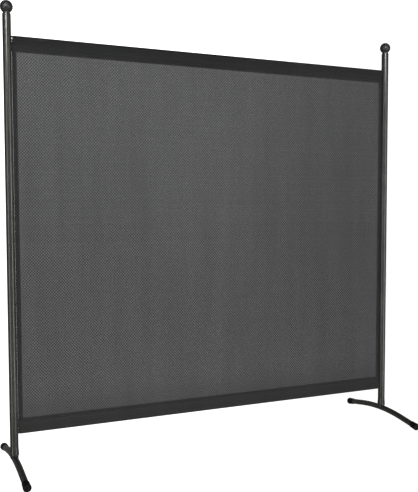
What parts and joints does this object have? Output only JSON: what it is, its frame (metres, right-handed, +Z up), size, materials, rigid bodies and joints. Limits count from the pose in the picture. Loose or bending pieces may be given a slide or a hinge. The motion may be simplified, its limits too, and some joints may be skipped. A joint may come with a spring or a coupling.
{
  "type": "free-standing mesh screen",
  "caption": "Free-standing screen: see-through mesh cloth stretched between round posts by hooked crossbars in its hems, on arched feet with rubber caps, under ball finials.",
  "frame": {"origin": "on the floor, midway between the posts and midway between the front and back caps", "axes": "+X along the screen to the right, +Y towards its back, +Z up"},
  "size_m": [1.792, 0.5198, 1.78],
  "materials": {
    "powder_coat": "anthracite powder coat, semi-gloss, fine orange peel",
    "finial_plastic": "moulded, fine satin grain",
    "cap_rubber": "black moulded rubber, matt",
    "plug_plastic": "black moulded nylon",
    "zinc_steel": "bright zinc plated",
    "mesh_cloth": "coated polyester mesh, one layer, see-through",
    "hem_cloth": "the same mesh folded double and stitched"
  },
  "bodies": {
    "frame": {"left_post": "powder_coat", "right_post": "powder_coat", "left_clamp_screw": "zinc_steel", "right_clamp_screw": "zinc_steel", "top_crossbar": "powder_coat", "bottom_crossbar": "powder_coat", "top_left_plug": "plug_plastic", "top_right_plug": "plug_plastic", "bottom_left_plug": "plug_plastic", "bottom_right_plug": "plug_plastic", "top_left_hook": "zinc_steel", "top_right_hook": "zinc_steel", "bottom_left_hook": "zinc_steel", "bottom_right_hook": "zinc_steel", "top_left_pin": "zinc_steel", "top_right_pin": "zinc_steel", "bottom_left_pin": "zinc_steel", "bottom_right_pin": "zinc_steel", "mesh_panel": "mesh_cloth", "top_hem": "hem_cloth", "bottom_hem": "hem_cloth", "left_hem": "hem_cloth", "right_hem": "hem_cloth"},
    "left_foot": {"left_foot_tube": "powder_coat", "left_foot_stub": "powder_coat", "left_front_cap": "cap_rubber", "left_back_cap": "cap_rubber"},
    "right_foot": {"right_foot_tube": "powder_coat", "right_foot_stub": "powder_coat", "right_front_cap": "cap_rubber", "right_back_cap": "cap_rubber"},
    "left_finial": {"left_finial": "finial_plastic"},
    "right_finial": {"right_finial": "finial_plastic"}
  },
  "joints": [
    {"name": "left_foot_swivel", "type": "hinge", "parent": "frame", "child": "left_foot", "pos_m": [-0.872, 0, 0.056], "axis": [0, 0, 1], "range_deg": [-90, 90]},
    {"name": "right_foot_swivel", "type": "hinge", "parent": "frame", "child": "right_foot", "pos_m": [0.872, 0, 0.056], "axis": [0, 0, 1], "range_deg": [-90, 90]},
    {"name": "left_finial_pull", "type": "slide", "parent": "frame", "child": "left_finial", "axis": [0, 0, 1], "range_m": [0, 0.03]},
    {"name": "right_finial_pull", "type": "slide", "parent": "frame", "child": "right_finial", "axis": [0, 0, 1], "range_m": [0, 0.03]}
  ]
}
